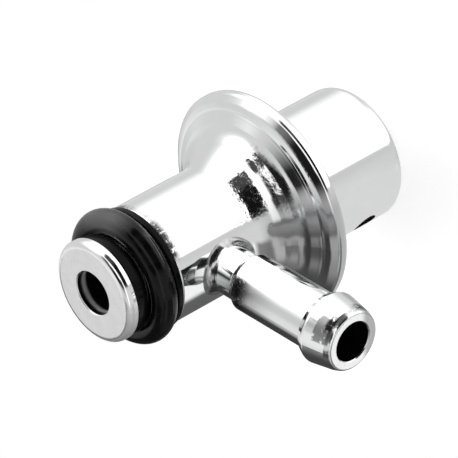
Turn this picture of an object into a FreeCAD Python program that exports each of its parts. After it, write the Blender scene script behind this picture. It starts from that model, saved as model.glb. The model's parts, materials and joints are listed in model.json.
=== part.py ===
import FreeCAD, Part
import math
import os

# In-line fuel pressure regulator, millimetres.
# It stands on the flat end of its spring cover with the O-ring nose up.
# The origin is on the main axis at the cover's end face, +Z runs towards the inlet
# and +X along the side outlet pipe.

# Spring cover
COVER_RADIUS = 9.26
COVER_WALL = 0.70
COVER_END_ROUNDING = 1.60
COVER_HEIGHT = 14.70
COVER_STEP_HEIGHT = 2.20
COVER_STEP_ROUNDING = 0.50
VENT_RADIUS = 1.70
VENT_HEIGHT = 5.90
VENT_ANGLE = -37.3

# Main spring and the plates that hold its ends
SPRING_WIRE_RADIUS = 0.85
SPRING_ACTIVE_TURNS = 4.5
SPRING_END_TURNS = 1.0
CLOSE_TURN_SPACING = 1.04
SPRING_GROUND_SHARE = 0.45
SPRING_SIDE_CLEARANCE = 0.35
SEAT_SHEET = 0.60
SEAT_PLATE = 0.80
SEAT_RIM_DEPTH = 2.20
SEAT_RUNNING_GAP = 0.56
END_SEAT_PLATE = 0.90
END_SEAT_BOSS_HEIGHT = 1.60
END_SEAT_BOSS_CLEARANCE = 0.30
END_SEAT_HOLE_RADIUS = 1.50

# Diaphragm with one rolled convolution
DIAPHRAGM_THICKNESS = 0.50
ROLL_RADIUS = 1.50
ROLL_INNER_CLEARANCE = 0.55
ROLL_OUTER_CLEARANCE = 0.25
DIAPHRAGM_EDGE_CLEARANCE = 0.25
WASHER_THICKNESS = 0.80
WASHER_INSET = 0.20
WASHER_ROUNDING = 0.20
STEM_CLEARANCE = 0.05

# Crimped rim of the inlet housing
RIM_WALL = 0.80
CLAMP_WIDTH = 1.83
CRIMP_THICKNESS = 0.50
CRIMP_CLEARANCE = 0.40
COVER_FLANGE_CLEARANCE = 0.05
RIM_BACK_ROUNDING = 0.78
RIM_EDGE_INSET = 0.02
RIM_EDGE_HEIGHT = 1.57
RIM_EDGE_ROUNDING = 0.55
LIP_CREASE_INSET = 2.01
LIP_CROWN_INSET = 1.61
LIP_CROWN_DROP = 0.12
LIP_CROWN_ROUNDING = 0.80
LIP_SHOULDER_INSET = 1.01
LIP_SHOULDER_DROP = 0.40
LIP_SHOULDER_ROUNDING = 1.20
LIP_THICKNESS = 1.08
CREASE_ROUNDING = 0.35

# Bell, neck and nose of the inlet housing
HOUSING_WALL = 0.90
NECK_RADIUS = 8.31
NECK_LENGTH = 14.75
NECK_EDGE_ROUNDING = 0.25
BELL_HEIGHT = 4.67
BELL_FOOT_ROUNDING = 5.80
BELL_WAIST_OUT = 2.96
BELL_WAIST_RISE = 1.36
BELL_WAIST_ROUNDING = 3.00
BELL_KNEE_OUT = 3.94
BELL_KNEE_RISE = 0.87
BELL_KNEE_ROUNDING = 2.00
NOSE_RADIUS = 5.93

# Rings on the nose
BACKUP_RING_THICKNESS = 0.95
BACKUP_RING_OVERHANG = 0.22
RING_EDGE_ROUNDING = 0.20
ORING_SECTION_RADIUS = 1.74
ORING_SEAT_CLEARANCE = 0.03
ORING_PLAY = 0.24
GUIDE_RING_THICKNESS = 1.80
GUIDE_RING_WIDTH = 1.02

# Inlet cap
CAP_THICKNESS = 1.60
CAP_OVERHANG = 1.20
CAP_FRONT_ROUNDING = 0.95
CAP_BACK_ROUNDING = 0.20
SPIGOT_LENGTH = 4.00
INLET_BORE_RADIUS = 3.06
BORE_EDGE_CHAMFER = 0.15

# Inlet strainer
STRAINER_BORE_CLEARANCE = 0.24
STRAINER_COLLAR_HEIGHT = 1.20
STRAINER_RIB_THICKNESS = 0.60
STRAINER_RIB_WIDTH = 0.90
STRAINER_RIB_COUNT = 4
STRAINER_FLOOR = 0.80
STRAINER_FLOOR_GAP = 0.40
MESH_THICKNESS = 0.15
MESH_WINDOW_WIDTH = 0.85
MESH_WINDOW_HEIGHT = 0.55
MESH_WINDOW_ROWS = 5
MESH_WINDOW_COLUMNS = 16
MESH_BORDER = 0.45

# Outlet pipe and its braze
OUTLET_BELOW_SHOULDER = 7.93
PIPE_RADIUS = 3.95
PIPE_BORE_RADIUS = 2.77
STUB_RADIUS = 3.30
STUB_INNER_END = 4.50
STUB_SHOULDER = 12.87
STUB_SHOULDER_LENGTH = 0.95
STUB_SHOULDER_ROUNDING = 0.35
BEAD_START = 25.95
BEAD_BACK_STEP = 0.60
BEAD_RADIUS = 4.95
BEAD_BACK_LENGTH = 0.90
BEAD_CROWN_ROUNDING = 0.80
BEAD_CONE_LENGTH = 3.49
PIPE_TIP_RADIUS = 4.35
PIPE_TIP_LENGTH = 0.90
PIPE_END_RADIUS = 4.03
PIPE_TIP_ROUNDING = 0.40
BRAZE_RADIUS = 1.25
BRAZE_GAP = 0.35

# Seat block
BLOCK_WALL_ABOVE = 0.72
BLOCK_WALL_BELOW = 1.28
BLOCK_EDGE_CHAMFER = 0.40
CROSS_BORE_RADIUS = 2.50
CENTRE_BORE_RADIUS = 2.00
FEED_RADIUS = 0.90
FEED_WALL = 0.81
FEED_ANGLES = (90.0, 135.0, 180.0, 225.0, 270.0)
BOSS_WALL = 1.30

# Valve
SEAT_BORE_RADIUS = 1.40
SEAT_RING_RADIUS = 2.90
SEAT_RING_LENGTH = 2.80
SEAT_LAND = 0.45
SEAT_LAND_HEIGHT = 0.25
SEAT_PROUD = 0.40
BALL_RADIUS = 2.60
BALL_FLAT_HEIGHT = 1.65
BALL_CLEARANCE = 0.05
VALVE_HEIGHT = 3.30
HOLDER_TOP_GAP = 0.20
HOLDER_WALL = 1.18
STEM_RADIUS = 3.00
STEM_HEAD_OVERHANG = 0.80
STEM_HEAD_THICKNESS = 0.80
STEM_HEAD_ROUNDING = 0.35
RETAINER_THICKNESS = 0.50
RETAINER_WIDTH = 0.75
POCKET_RADIUS = 1.45
POCKET_FLOOR = 0.50
BALL_SPRING_WIRE_RADIUS = 0.15
BALL_SPRING_ACTIVE_TURNS = 2.5
BALL_SPRING_END_TURNS = 0.5
BALL_SPRING_CLEARANCE = 0.02

# Heights worked out from the cover's end upwards
COVER_FLANGE_BOTTOM = COVER_HEIGHT + COVER_STEP_HEIGHT
COVER_FLANGE_TOP = COVER_FLANGE_BOTTOM + COVER_WALL
RIM_BOTTOM = COVER_FLANGE_BOTTOM - CRIMP_THICKNESS
DIAPHRAGM_TOP = COVER_FLANGE_TOP + DIAPHRAGM_THICKNESS
CREASE_HEIGHT = DIAPHRAGM_TOP + LIP_THICKNESS
NECK_FOOT = CREASE_HEIGHT + BELL_HEIGHT
NECK_SHOULDER = NECK_FOOT + NECK_LENGTH
BACKUP_RING_TOP = NECK_SHOULDER + BACKUP_RING_THICKNESS
ORING_CENTRE = BACKUP_RING_TOP + ORING_SEAT_CLEARANCE + ORING_SECTION_RADIUS
GUIDE_RING_BOTTOM = ORING_CENTRE + ORING_SECTION_RADIUS + ORING_PLAY
NOSE_TOP = GUIDE_RING_BOTTOM + GUIDE_RING_THICKNESS
CAP_TOP = NOSE_TOP + CAP_THICKNESS
SPIGOT_BOTTOM = NOSE_TOP - SPIGOT_LENGTH
OUTLET_HEIGHT = NECK_SHOULDER - OUTLET_BELOW_SHOULDER
BLOCK_TOP = OUTLET_HEIGHT + STUB_RADIUS + BLOCK_WALL_ABOVE
BLOCK_BOTTOM = OUTLET_HEIGHT - STUB_RADIUS - BLOCK_WALL_BELOW
WASHER_TOP = DIAPHRAGM_TOP + WASHER_THICKNESS
SEAT_FACE = WASHER_TOP + VALVE_HEIGHT
BOSS_BOTTOM = SEAT_FACE + SEAT_PROUD
BALL_CENTRE = SEAT_FACE - BALL_FLAT_HEIGHT
HOLDER_TOP = SEAT_FACE - HOLDER_TOP_GAP
SPRING_SEAT_BOTTOM = COVER_FLANGE_TOP - SEAT_PLATE
END_SEAT_TOP = COVER_WALL + END_SEAT_PLATE
STEM_HEAD_BOTTOM = SPRING_SEAT_BOTTOM - STEM_HEAD_THICKNESS

# Places along the outlet pipe, measured from the main axis
BEAD_CROWN = BEAD_START + BEAD_BACK_LENGTH
PIPE_TIP_START = BEAD_CROWN + BEAD_CONE_LENGTH
PIPE_END = PIPE_TIP_START + PIPE_TIP_LENGTH

# Radii worked out from the cover outwards and inwards
COVER_BORE = COVER_RADIUS - COVER_WALL
SEAT_RIM_RADIUS = COVER_BORE - SEAT_RUNNING_GAP
SPRING_OUTER_RADIUS = SEAT_RIM_RADIUS - SEAT_SHEET - SPRING_SIDE_CLEARANCE
SPRING_MEAN_RADIUS = SPRING_OUTER_RADIUS - SPRING_WIRE_RADIUS
SPRING_INNER_RADIUS = SPRING_MEAN_RADIUS - SPRING_WIRE_RADIUS
ROLL_HALF_WIDTH = ROLL_RADIUS + DIAPHRAGM_THICKNESS / 2
ROLL_CENTRE = SEAT_RIM_RADIUS + ROLL_INNER_CLEARANCE + ROLL_HALF_WIDTH
COVER_STEP_BORE = ROLL_CENTRE + ROLL_HALF_WIDTH + ROLL_OUTER_CLEARANCE
COVER_STEP_RADIUS = COVER_STEP_BORE + COVER_WALL
RIM_BORE = COVER_STEP_RADIUS + CLAMP_WIDTH
RIM_RADIUS = RIM_BORE + RIM_WALL
NECK_BORE = NECK_RADIUS - HOUSING_WALL
NOSE_BORE = NOSE_RADIUS - HOUSING_WALL
ORING_RADIUS = NOSE_RADIUS + ORING_SECTION_RADIUS
STRAINER_INNER_RADIUS = INLET_BORE_RADIUS + STRAINER_BORE_CLEARANCE
STRAINER_OUTER_RADIUS = STRAINER_INNER_RADIUS + STRAINER_RIB_THICKNESS
FEED_CIRCLE_RADIUS = NECK_BORE - FEED_RADIUS - FEED_WALL
BALL_HEIGHT_AT_RETAINER = HOLDER_TOP - RETAINER_THICKNESS - BALL_CENTRE
RETAINER_BORE = math.sqrt(BALL_RADIUS ** 2 - BALL_HEIGHT_AT_RETAINER ** 2) + BALL_CLEARANCE
RETAINER_RADIUS = RETAINER_BORE + RETAINER_WIDTH
HOLDER_RADIUS = RETAINER_RADIUS + HOLDER_WALL
BALL_SPRING_MEAN_RADIUS = POCKET_RADIUS - BALL_CLEARANCE - 2 * BALL_SPRING_WIRE_RADIUS

AXIS_UP = FreeCAD.Vector(0, 0, 1)
AXIS_OUT = FreeCAD.Vector(1, 0, 0)
MAIN_ORIGIN = FreeCAD.Vector(0, 0, 0)
OUTLET_ORIGIN = FreeCAD.Vector(0, 0, OUTLET_HEIGHT)
SPLINE_POINTS_PER_TURN = 16


def unit(start, end):
    """Direction from one point to another."""
    direction = end.sub(start)
    direction.normalize()
    return direction


def rounded_face(corners):
    """Closed face through (x, z, rounding) corners in the XZ plane, each corner rounded if asked."""
    points = [FreeCAD.Vector(x, 0, z) for x, z, _ in corners]
    starts, ends, arcs = [], [], []
    for index, (_, _, rounding) in enumerate(corners):
        corner = points[index]
        if rounding <= 0:
            starts.append(corner)
            ends.append(corner)
            arcs.append(None)
            continue
        back = unit(corner, points[index - 1])
        ahead = unit(corner, points[(index + 1) % len(points)])
        half_angle = back.getAngle(ahead) / 2
        setback = rounding / math.tan(half_angle)
        start = corner.add(FreeCAD.Vector(back).multiply(setback))
        end = corner.add(FreeCAD.Vector(ahead).multiply(setback))
        inward = back.add(ahead)
        inward.normalize()
        middle = corner.add(inward.multiply(rounding / math.sin(half_angle) - rounding))
        starts.append(start)
        ends.append(end)
        arcs.append(Part.Arc(start, middle, end).toShape())
    edges = []
    for index in range(len(corners)):
        if arcs[index]:
            edges.append(arcs[index])
        following = starts[(index + 1) % len(corners)]
        if not ends[index].isEqual(following, 1e-6):
            edges.append(Part.LineSegment(ends[index], following).toShape())
    return Part.Face(Part.Wire(edges))


def turned(corners):
    """Solid of revolution about the main axis from (radius, height, rounding) corners."""
    return rounded_face(corners).revolve(MAIN_ORIGIN, AXIS_UP, 360)


def turned_on_outlet(corners):
    """Solid of revolution about the outlet axis from (distance along +X, radius, rounding) corners."""
    face = rounded_face([(x, OUTLET_HEIGHT + radius, rounding) for x, radius, rounding in corners])
    return face.revolve(OUTLET_ORIGIN, AXIS_OUT, 360)


def ring(inner, outer, bottom, top, rounding=0.0):
    """Plain ring about the main axis, with rounded outer edges if asked."""
    return turned([
        (inner, bottom, 0),
        (outer, bottom, rounding),
        (outer, top, rounding),
        (inner, top, 0),
    ])


def rod(radius, bottom, top, angle=0.0, distance=0.0):
    """Cylinder parallel to the main axis, at an angle and distance from it."""
    x = distance * math.cos(math.radians(angle))
    y = distance * math.sin(math.radians(angle))
    return Part.makeCylinder(radius, top - bottom, FreeCAD.Vector(x, y, bottom), AXIS_UP)


def outlet_rod(radius, start, end):
    """Cylinder on the outlet axis between two distances from the main axis."""
    return Part.makeCylinder(radius, end - start, FreeCAD.Vector(start, 0, OUTLET_HEIGHT), AXIS_OUT)


def meeting_point(line_a, line_b):
    """Point where two lines, each given by two (x, z) points, cross."""
    (x1, z1), (x2, z2) = line_a
    (x3, z3), (x4, z4) = line_b
    spread = (x1 - x2) * (z3 - z4) - (z1 - z2) * (x3 - x4)
    first = x1 * z2 - z1 * x2
    second = x3 * z4 - z3 * x4
    x = (first * (x3 - x4) - (x1 - x2) * second) / spread
    z = (first * (z3 - z4) - (z1 - z2) * second) / spread
    return x, z


def wall_line(start, end, wall):
    """The line of the inner face behind an outer line that runs outward and down."""
    run = end[0] - start[0]
    drop = end[1] - start[1]
    length = math.hypot(run, drop)
    shift_x = wall * drop / length
    shift_z = -wall * run / length
    return (start[0] + shift_x, start[1] + shift_z), (end[0] + shift_x, end[1] + shift_z)


def inlet_housing():
    """Drawn nose, neck, bell and rim, crimped back over the cover's flange."""
    foot = (NECK_RADIUS, NECK_FOOT)
    waist = (NECK_RADIUS + BELL_WAIST_OUT, CREASE_HEIGHT + BELL_WAIST_RISE)
    knee = (NECK_RADIUS + BELL_KNEE_OUT, CREASE_HEIGHT + BELL_KNEE_RISE)
    crease = (RIM_RADIUS - LIP_CREASE_INSET, CREASE_HEIGHT)
    steep = wall_line(foot, waist, HOUSING_WALL)
    shallow = wall_line(waist, crease, HOUSING_WALL)
    ledge = ((0.0, DIAPHRAGM_TOP), (RIM_BORE, DIAPHRAGM_TOP))
    neck_wall = ((NECK_BORE, NECK_FOOT), (NECK_BORE, NECK_SHOULDER))
    inner_foot = meeting_point(neck_wall, steep)
    inner_waist = meeting_point(steep, shallow)
    inner_ledge = meeting_point(shallow, ledge)
    rim_edge_radius = RIM_RADIUS - RIM_EDGE_INSET
    shell = turned([
        (NOSE_BORE, NOSE_TOP, 0),
        (NOSE_RADIUS, NOSE_TOP, 0),
        (NOSE_RADIUS, NECK_SHOULDER, 0),
        (NECK_RADIUS, NECK_SHOULDER, NECK_EDGE_ROUNDING),
        (foot[0], foot[1], BELL_FOOT_ROUNDING),
        (waist[0], waist[1], BELL_WAIST_ROUNDING),
        (knee[0], knee[1], BELL_KNEE_ROUNDING),
        (crease[0], crease[1], CREASE_ROUNDING),
        (RIM_RADIUS - LIP_CROWN_INSET, CREASE_HEIGHT - LIP_CROWN_DROP, LIP_CROWN_ROUNDING),
        (RIM_RADIUS - LIP_SHOULDER_INSET, CREASE_HEIGHT - LIP_SHOULDER_DROP, LIP_SHOULDER_ROUNDING),
        (rim_edge_radius, RIM_BOTTOM + RIM_EDGE_HEIGHT, RIM_EDGE_ROUNDING),
        (RIM_RADIUS, RIM_BOTTOM + RIM_BACK_ROUNDING, 0),
        (RIM_RADIUS, RIM_BOTTOM, RIM_BACK_ROUNDING),
        (COVER_STEP_RADIUS + CRIMP_CLEARANCE, RIM_BOTTOM, 0),
        (COVER_STEP_RADIUS + CRIMP_CLEARANCE, COVER_FLANGE_BOTTOM, 0),
        (RIM_BORE, COVER_FLANGE_BOTTOM, 0),
        (RIM_BORE, DIAPHRAGM_TOP, 0),
        (inner_ledge[0], inner_ledge[1], 0),
        (inner_waist[0], inner_waist[1], BELL_WAIST_ROUNDING - HOUSING_WALL),
        (inner_foot[0], inner_foot[1], BELL_FOOT_ROUNDING + HOUSING_WALL),
        (NECK_BORE, NECK_SHOULDER - HOUSING_WALL, 0),
        (NOSE_BORE, NECK_SHOULDER - HOUSING_WALL, 0),
    ])
    return shell.cut(outlet_rod(STUB_RADIUS + BRAZE_GAP, 0, NECK_RADIUS + HOUSING_WALL))


def spring_cover():
    """Drawn cup that holds the main spring, with a step for the diaphragm's roll and a vent."""
    inner_rounding = COVER_END_ROUNDING - COVER_WALL
    flange_radius = RIM_BORE - COVER_FLANGE_CLEARANCE
    cup = turned([
        (0, 0, 0),
        (COVER_RADIUS, 0, COVER_END_ROUNDING),
        (COVER_RADIUS, COVER_HEIGHT, 0),
        (COVER_STEP_RADIUS, COVER_HEIGHT, COVER_STEP_ROUNDING),
        (COVER_STEP_RADIUS, COVER_FLANGE_BOTTOM, 0),
        (flange_radius, COVER_FLANGE_BOTTOM, 0),
        (flange_radius, COVER_FLANGE_TOP, 0),
        (COVER_STEP_BORE, COVER_FLANGE_TOP, 0),
        (COVER_STEP_BORE, COVER_HEIGHT + COVER_WALL, 0),
        (COVER_BORE, COVER_HEIGHT + COVER_WALL, 0),
        (COVER_BORE, COVER_WALL, inner_rounding),
        (0, COVER_WALL, 0),
    ])
    vent = Part.makeCylinder(VENT_RADIUS, COVER_RADIUS + COVER_WALL, MAIN_ORIGIN, AXIS_OUT)
    vent.rotate(MAIN_ORIGIN, AXIS_UP, VENT_ANGLE)
    vent.translate(FreeCAD.Vector(0, 0, VENT_HEIGHT))
    return cup.cut(vent)


def coil(mean_radius, wire_radius, bottom, top, active_turns, end_turns):
    """Wire wound from bottom to top, with close end turns, as a solid."""
    turns = active_turns + 2 * end_turns
    close_pitch = 2 * wire_radius * CLOSE_TURN_SPACING
    end_rise = close_pitch * end_turns
    active_pitch = (top - bottom - 2 * end_rise) / active_turns
    points = []
    steps = int(round(turns * SPLINE_POINTS_PER_TURN))
    for step in range(steps + 1):
        turn = turns * step / steps
        closed_below = min(turn, end_turns)
        closed_above = max(turn - end_turns - active_turns, 0)
        active = turn - closed_below - closed_above
        height = bottom + close_pitch * (closed_below + closed_above) + active_pitch * active
        angle = 2 * math.pi * turn
        points.append(FreeCAD.Vector(mean_radius * math.cos(angle), mean_radius * math.sin(angle), height))
    path = Part.BSplineCurve()
    path.interpolate(points)
    start_tangent = path.tangent(path.FirstParameter)[0]
    section = Part.Wire(Part.Circle(points[0], start_tangent, wire_radius).toShape())
    return Part.Wire(path.toShape()).makePipeShell([section], True, True)


def main_spring():
    """Coil spring with close end turns, ground flat where it meets its seats."""
    grinding = SPRING_WIRE_RADIUS * SPRING_GROUND_SHARE
    bottom = END_SEAT_TOP
    top = SPRING_SEAT_BOTTOM
    wire = coil(SPRING_MEAN_RADIUS, SPRING_WIRE_RADIUS, bottom + grinding, top - grinding,
                SPRING_ACTIVE_TURNS, SPRING_END_TURNS)
    return wire.common(rod(SPRING_OUTER_RADIUS + SPRING_WIRE_RADIUS, bottom, top))


def end_seat():
    """Dished plate on the cover's end that centres the spring from inside."""
    boss_radius = SPRING_INNER_RADIUS - END_SEAT_BOSS_CLEARANCE
    boss_top = END_SEAT_TOP + END_SEAT_BOSS_HEIGHT
    return turned([
        (END_SEAT_HOLE_RADIUS, boss_top - END_SEAT_PLATE, 0),
        (boss_radius - END_SEAT_PLATE, boss_top - END_SEAT_PLATE, 0),
        (boss_radius - END_SEAT_PLATE, COVER_WALL, 0),
        (SPRING_OUTER_RADIUS, COVER_WALL, 0),
        (SPRING_OUTER_RADIUS, END_SEAT_TOP, 0),
        (boss_radius, END_SEAT_TOP, 0),
        (boss_radius, boss_top, END_SEAT_PLATE / 2),
        (END_SEAT_HOLE_RADIUS, boss_top, 0),
    ])


def spring_seat():
    """Plate under the diaphragm with a turned rim round the spring's last coil."""
    rim_bottom = SPRING_SEAT_BOTTOM - SEAT_RIM_DEPTH
    return turned([
        (STEM_RADIUS, SPRING_SEAT_BOTTOM, 0),
        (SEAT_RIM_RADIUS - SEAT_SHEET, SPRING_SEAT_BOTTOM, 0),
        (SEAT_RIM_RADIUS - SEAT_SHEET, rim_bottom, 0),
        (SEAT_RIM_RADIUS, rim_bottom, 0),
        (SEAT_RIM_RADIUS, COVER_FLANGE_TOP, SEAT_PLATE / 2),
        (STEM_RADIUS, COVER_FLANGE_TOP, 0),
    ])


def diaphragm():
    """Flat at the clamp and at the centre, with one half-round roll between them."""
    half = DIAPHRAGM_THICKNESS / 2
    middle = COVER_FLANGE_TOP + half
    sheet = ring(STEM_RADIUS + STEM_CLEARANCE, RIM_BORE - DIAPHRAGM_EDGE_CLEARANCE,
                 COVER_FLANGE_TOP, DIAPHRAGM_TOP)
    gap = ring(ROLL_CENTRE - ROLL_RADIUS, ROLL_CENTRE + ROLL_RADIUS, COVER_FLANGE_TOP, DIAPHRAGM_TOP)
    centre = FreeCAD.Vector(ROLL_CENTRE, 0, middle)
    across = FreeCAD.Vector(0, 1, 0)
    outer = Part.Face(Part.Wire(Part.Circle(centre, across, ROLL_RADIUS + half).toShape()))
    inner = Part.Face(Part.Wire(Part.Circle(centre, across, ROLL_RADIUS - half).toShape()))
    tube = outer.cut(inner).revolve(MAIN_ORIGIN, AXIS_UP, 360)
    lower_half = ring(ROLL_CENTRE - ROLL_HALF_WIDTH, ROLL_CENTRE + ROLL_HALF_WIDTH,
                      middle - ROLL_HALF_WIDTH, middle)
    return sheet.cut(gap).fuse(tube.common(lower_half)).removeSplitter()


def diaphragm_washer():
    """Flat washer on the fuel side of the diaphragm."""
    outer = SEAT_RIM_RADIUS - WASHER_INSET
    return ring(STEM_RADIUS, outer, DIAPHRAGM_TOP, WASHER_TOP, WASHER_ROUNDING)


def valve_holder():
    """Turned stem with the ball's socket, clinched under the spring seat."""
    body = turned([
        (0, STEM_HEAD_BOTTOM, 0),
        (STEM_RADIUS + STEM_HEAD_OVERHANG, STEM_HEAD_BOTTOM, STEM_HEAD_ROUNDING),
        (STEM_RADIUS + STEM_HEAD_OVERHANG, SPRING_SEAT_BOTTOM, 0),
        (STEM_RADIUS, SPRING_SEAT_BOTTOM, 0),
        (STEM_RADIUS, WASHER_TOP, 0),
        (HOLDER_RADIUS, WASHER_TOP, 0),
        (HOLDER_RADIUS, HOLDER_TOP, BORE_EDGE_CHAMFER),
        (0, HOLDER_TOP, 0),
    ])
    socket_radius = BALL_RADIUS + BALL_CLEARANCE
    sphere = Part.makeSphere(socket_radius, FreeCAD.Vector(0, 0, BALL_CENTRE))
    throat = rod(socket_radius, BALL_CENTRE, HOLDER_TOP)
    pocket = rod(POCKET_RADIUS, STEM_HEAD_BOTTOM + POCKET_FLOOR, BALL_CENTRE)
    counterbore = rod(RETAINER_RADIUS, HOLDER_TOP - RETAINER_THICKNESS, HOLDER_TOP)
    return body.cut(sphere).cut(throat).cut(pocket).cut(counterbore)


def valve_ball():
    """Ball with a ground flat that closes the seat."""
    ball = Part.makeSphere(BALL_RADIUS, FreeCAD.Vector(0, 0, BALL_CENTRE))
    return ball.cut(rod(BALL_RADIUS, SEAT_FACE, BALL_CENTRE + 2 * BALL_RADIUS))


def ball_retainer():
    """Ring pressed over the ball in the holder's counterbore."""
    return ring(RETAINER_BORE, RETAINER_RADIUS, HOLDER_TOP - RETAINER_THICKNESS, HOLDER_TOP)


def ball_spring():
    """Small coil that steadies the ball in its socket."""
    reach = BALL_RADIUS + BALL_SPRING_WIRE_RADIUS + BALL_SPRING_CLEARANCE
    top = BALL_CENTRE - math.sqrt(reach ** 2 - BALL_SPRING_MEAN_RADIUS ** 2)
    bottom = STEM_HEAD_BOTTOM + POCKET_FLOOR + BALL_SPRING_WIRE_RADIUS
    return coil(BALL_SPRING_MEAN_RADIUS, BALL_SPRING_WIRE_RADIUS, bottom, top,
                BALL_SPRING_ACTIVE_TURNS, BALL_SPRING_END_TURNS)


def valve_seat():
    """Hard seat ring with a narrow raised land round its bore."""
    land_radius = SEAT_BORE_RADIUS + SEAT_LAND
    return turned([
        (SEAT_BORE_RADIUS, SEAT_FACE, 0),
        (land_radius, SEAT_FACE, 0),
        (land_radius + SEAT_LAND_HEIGHT, SEAT_FACE + SEAT_LAND_HEIGHT, 0),
        (SEAT_RING_RADIUS, SEAT_FACE + SEAT_LAND_HEIGHT, 0),
        (SEAT_RING_RADIUS, SEAT_FACE + SEAT_RING_LENGTH, 0),
        (SEAT_BORE_RADIUS, SEAT_FACE + SEAT_RING_LENGTH, 0),
    ])


def seat_block():
    """Turned block in the neck: feed passages round a return bore that turns into the outlet."""
    boss_radius = SEAT_RING_RADIUS + BOSS_WALL
    block = turned([
        (0, BOSS_BOTTOM, 0),
        (boss_radius, BOSS_BOTTOM, BORE_EDGE_CHAMFER),
        (boss_radius, BLOCK_BOTTOM, 0),
        (NECK_BORE, BLOCK_BOTTOM, BLOCK_EDGE_CHAMFER),
        (NECK_BORE, BLOCK_TOP, BLOCK_EDGE_CHAMFER),
        (0, BLOCK_TOP, 0),
    ])
    block = block.cut(rod(SEAT_RING_RADIUS, BOSS_BOTTOM, SEAT_FACE + SEAT_RING_LENGTH))
    block = block.cut(rod(CENTRE_BORE_RADIUS, BOSS_BOTTOM, OUTLET_HEIGHT))
    block = block.cut(Part.makeSphere(CROSS_BORE_RADIUS, OUTLET_ORIGIN))
    block = block.cut(outlet_rod(CROSS_BORE_RADIUS, 0, STUB_INNER_END))
    block = block.cut(outlet_rod(STUB_RADIUS, STUB_INNER_END, NECK_RADIUS))
    for angle in FEED_ANGLES:
        block = block.cut(rod(FEED_RADIUS, BLOCK_BOTTOM, BLOCK_TOP, angle, FEED_CIRCLE_RADIUS))
    return block


def outlet_pipe():
    """Side pipe: stub in the block, shoulder, straight length, hose bead and cone."""
    return turned_on_outlet([
        (STUB_INNER_END, PIPE_BORE_RADIUS, 0),
        (STUB_INNER_END, STUB_RADIUS, 0),
        (STUB_SHOULDER - STUB_SHOULDER_LENGTH, STUB_RADIUS, STUB_SHOULDER_ROUNDING),
        (STUB_SHOULDER, PIPE_RADIUS, STUB_SHOULDER_ROUNDING),
        (BEAD_START, PIPE_RADIUS, 0),
        (BEAD_START, PIPE_RADIUS + BEAD_BACK_STEP, 0),
        (BEAD_CROWN, BEAD_RADIUS, BEAD_CROWN_ROUNDING),
        (PIPE_TIP_START, PIPE_TIP_RADIUS, PIPE_TIP_ROUNDING),
        (PIPE_END, PIPE_END_RADIUS, PIPE_TIP_ROUNDING),
        (PIPE_END, PIPE_BORE_RADIUS + BORE_EDGE_CHAMFER, 0),
        (PIPE_END - BORE_EDGE_CHAMFER, PIPE_BORE_RADIUS, 0),
    ])


def braze_fillet():
    """Ring of braze that fills the neck's hole round the stub and the corner outside it."""
    reach = STUB_RADIUS + 2 * BRAZE_RADIUS
    neck = rod(NECK_RADIUS, OUTLET_HEIGHT - reach, OUTLET_HEIGHT + reach)
    bore = rod(NECK_BORE, OUTLET_HEIGHT - reach, OUTLET_HEIGHT + reach)
    stub = outlet_rod(STUB_RADIUS, 0, NECK_RADIUS + reach)
    hole = outlet_rod(STUB_RADIUS + BRAZE_GAP, 0, NECK_RADIUS + reach)
    joint = neck.fuse(stub)
    corner = []
    for edge in joint.Edges:
        box = edge.BoundBox
        on_neck = box.XMin > 0 and box.XMax < NECK_RADIUS + BRAZE_RADIUS
        if on_neck and 0 < box.ZLength < 2 * reach - BRAZE_RADIUS:
            corner.append(edge)
    outside = joint.makeFillet(BRAZE_RADIUS, corner).cut(neck).cut(stub)
    inside = neck.cut(bore).common(hole).cut(stub)
    return outside.fuse(inside).removeSplitter()


def inlet_cap():
    """Turned washer with a spigot pressed in the nose: it closes the nose and keeps the rings on."""
    radius = NOSE_RADIUS + CAP_OVERHANG
    return turned([
        (INLET_BORE_RADIUS, SPIGOT_BOTTOM, 0),
        (NOSE_BORE, SPIGOT_BOTTOM, 0),
        (NOSE_BORE, NOSE_TOP, 0),
        (radius, NOSE_TOP, CAP_BACK_ROUNDING),
        (radius, CAP_TOP, CAP_FRONT_ROUNDING),
        (INLET_BORE_RADIUS + BORE_EDGE_CHAMFER, CAP_TOP, 0),
        (INLET_BORE_RADIUS, CAP_TOP - BORE_EDGE_CHAMFER, 0),
    ])


def inlet_oring():
    """Rubber ring that seals the nose in its port."""
    return Part.makeTorus(ORING_RADIUS, ORING_SECTION_RADIUS, FreeCAD.Vector(0, 0, ORING_CENTRE), AXIS_UP)


def backup_ring():
    """Plastic ring between the O-ring and the neck's shoulder."""
    return ring(NOSE_RADIUS, NECK_RADIUS + BACKUP_RING_OVERHANG, NECK_SHOULDER, BACKUP_RING_TOP,
                RING_EDGE_ROUNDING)


def guide_ring():
    """Plastic ring between the O-ring and the cap."""
    return ring(NOSE_RADIUS, NOSE_RADIUS + GUIDE_RING_WIDTH, GUIDE_RING_BOTTOM, NOSE_TOP,
                RING_EDGE_ROUNDING)


def strainer_frame():
    """Moulded basket: collar under the spigot, ribs and a closed floor."""
    collar_bottom = SPIGOT_BOTTOM - STRAINER_COLLAR_HEIGHT
    floor_bottom = BLOCK_TOP + STRAINER_FLOOR_GAP
    frame = ring(STRAINER_INNER_RADIUS, NOSE_BORE, collar_bottom, SPIGOT_BOTTOM)
    floor = rod(STRAINER_OUTER_RADIUS, floor_bottom, floor_bottom + STRAINER_FLOOR)
    sleeve = ring(STRAINER_INNER_RADIUS, STRAINER_OUTER_RADIUS, floor_bottom, collar_bottom)
    for index in range(STRAINER_RIB_COUNT):
        bar = Part.makeBox(2 * STRAINER_OUTER_RADIUS, STRAINER_RIB_WIDTH, collar_bottom - floor_bottom,
                           FreeCAD.Vector(0, -STRAINER_RIB_WIDTH / 2, floor_bottom))
        bar.rotate(MAIN_ORIGIN, AXIS_UP, 360 * (index + 0.5) / STRAINER_RIB_COUNT)
        frame = frame.fuse(sleeve.common(bar))
    return frame.fuse(floor).removeSplitter()


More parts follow.
